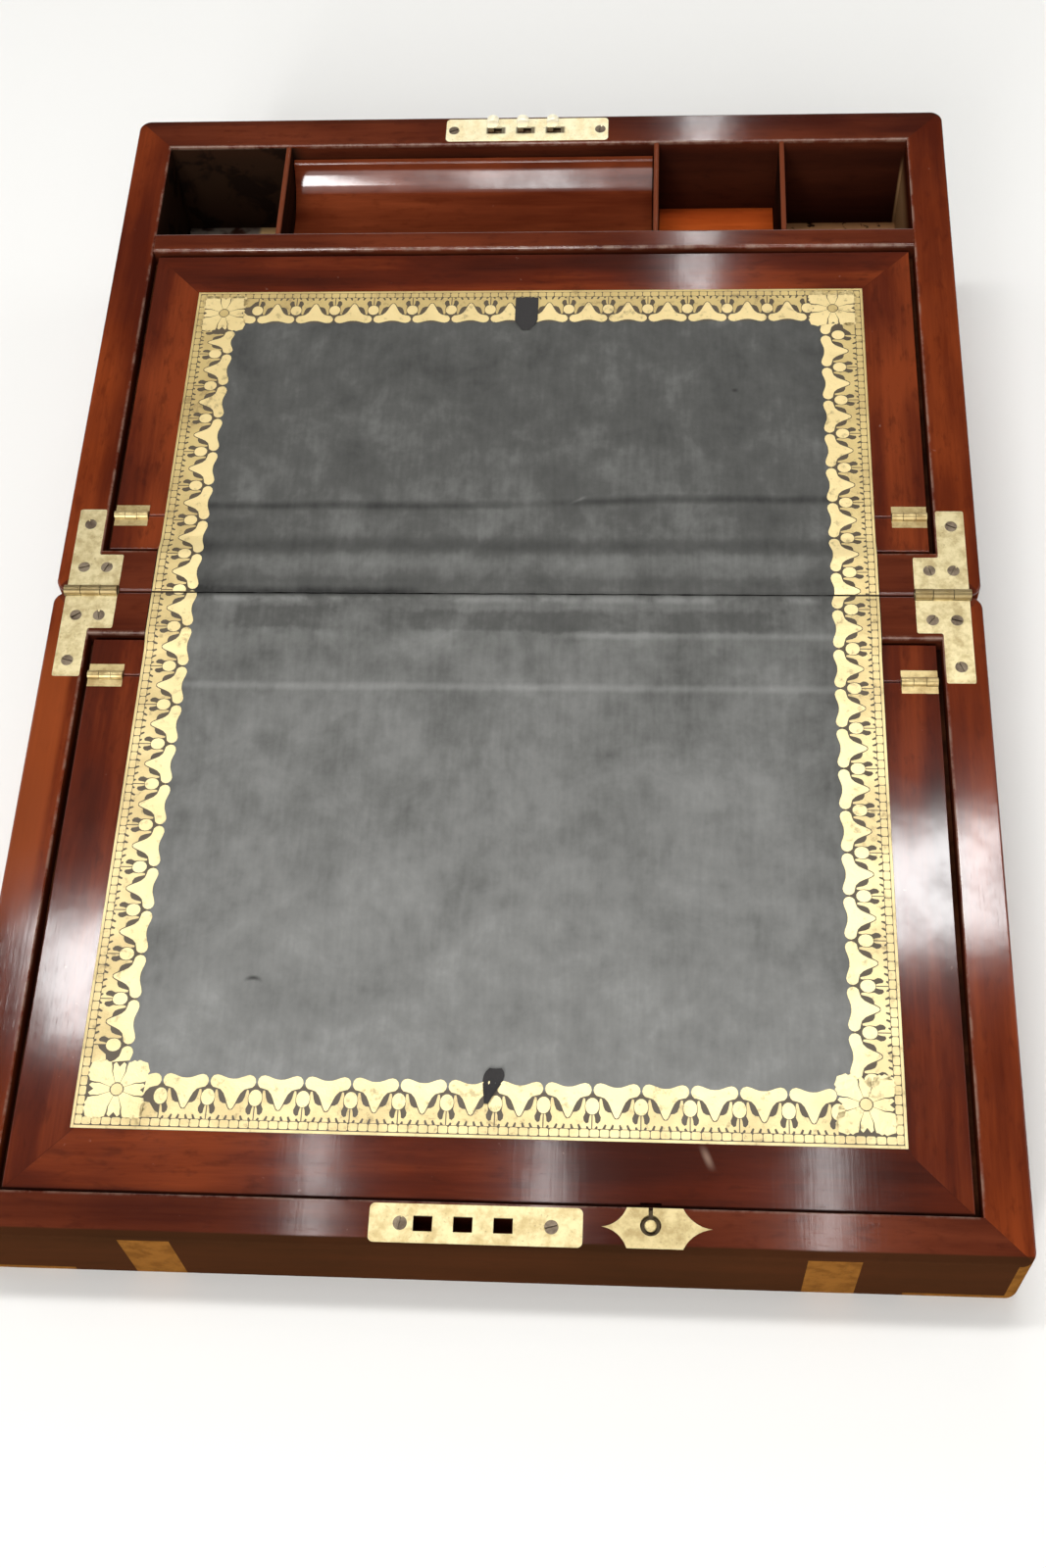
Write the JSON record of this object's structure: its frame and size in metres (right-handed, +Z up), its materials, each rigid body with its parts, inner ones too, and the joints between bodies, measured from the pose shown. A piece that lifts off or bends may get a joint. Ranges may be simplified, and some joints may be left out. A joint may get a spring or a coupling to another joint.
{
  "type": "writing slope",
  "caption": "Hinged wooden box that opens to a sloping leather-covered writing surface, with paper spaces under two flaps and a scooped pen tray.",
  "frame": {"origin": "on the table, under the middle of the hinge line between base and lid", "axes": "+X along the hinge line, +Y from the hinge towards the tall back of the base, +Z up"},
  "size_m": [0.35, 0.486, 0.1],
  "materials": {
    "case_mahogany": "polished",
    "flap_mahogany": "polished",
    "fitting_mahogany": "polished",
    "inner_wood": "plain",
    "pale_wood": "plain",
    "black_leather": "satin",
    "ribbon": "woven",
    "brass": "polished",
    "screw_steel": "worn",
    "pin_steel": "plain"
  },
  "bodies": {
    "base": {"base_back_wall": "case_mahogany", "base_left_wall": "case_mahogany", "base_right_wall": "case_mahogany", "base_hinge_wall": "case_mahogany", "base_bottom": "inner_wood", "tray_wall": "fitting_mahogany", "cell_floor": "pale_wood", "divider_left": "fitting_mahogany", "divider_middle": "fitting_mahogany", "divider_right": "fitting_mahogany", "raised_floor": "fitting_mahogany", "tray_rests": "inner_wood", "rear_ledges": "inner_wood", "rear_strip": "flap_mahogany", "base_leather": "black_leather", "lock_plate": "brass", "lock_case": "brass", "lock_screws": "screw_steel", "base_hinge_plate_left": "brass", "base_hinge_plate_right": "brass", "base_hinge_screws": "screw_steel", "hinge_pins": "pin_steel", "rear_butts_on_strip": "brass", "rear_butt_pins": "pin_steel"},
    "lid": {"lid_front_wall": "case_mahogany", "lid_left_wall": "case_mahogany", "lid_right_wall": "case_mahogany", "lid_hinge_wall": "case_mahogany", "lid_top_board": "case_mahogany", "front_ledges": "inner_wood", "front_strip": "flap_mahogany", "lid_leather": "black_leather", "strike_plate": "brass", "strike_screws": "screw_steel", "catch_plate": "brass", "front_straps": "brass", "corner_brasses": "brass", "lid_hinge_plate_left": "brass", "lid_hinge_plate_right": "brass", "lid_hinge_screws": "screw_steel", "front_butts_on_strip": "brass", "front_butt_pins": "pin_steel"},
    "rear_flap": {"rear_flap": "flap_mahogany", "rear_flap_leather": "black_leather", "rear_tab": "ribbon", "rear_butts_on_flap": "brass"},
    "front_flap": {"front_flap": "flap_mahogany", "front_flap_leather": "black_leather", "front_tab": "ribbon", "front_butts_on_flap": "brass"},
    "pen_tray": {"pen_tray": "fitting_mahogany"},
    "lock_bolt": {"lock_bolt": "brass"},
    "flap_catch": {"flap_catch": "brass"}
  },
  "joints": [
    {"name": "lid_hinge", "type": "hinge", "parent": "base", "child": "lid", "pos_m": [0, 0, 0.063], "axis": [1, 0, 0], "range_deg": [-180, 0]},
    {"name": "rear_flap_hinge", "type": "hinge", "parent": "base", "child": "rear_flap", "pos_m": [0, 0.03597, 0.06553], "axis": [1, 0, 0], "range_deg": [0, 100]},
    {"name": "front_flap_hinge", "type": "hinge", "parent": "lid", "child": "front_flap", "pos_m": [0, -0.03547, 0.0565], "axis": [-1, 0, 0], "range_deg": [0, 100]},
    {"name": "pen_tray_lift", "type": "slide", "parent": "base", "child": "pen_tray", "axis": [0, 0, 1], "range_m": [0, 0.06]},
    {"name": "lock_bolt_slide", "type": "slide", "parent": "base", "child": "lock_bolt", "axis": [1, 0, 0], "range_m": [0, 0.003]},
    {"name": "flap_catch_slide", "type": "slide", "parent": "lid", "child": "flap_catch", "axis": [0, 0.9921, 0.1253], "range_m": [0, 0.0013]}
  ]
}
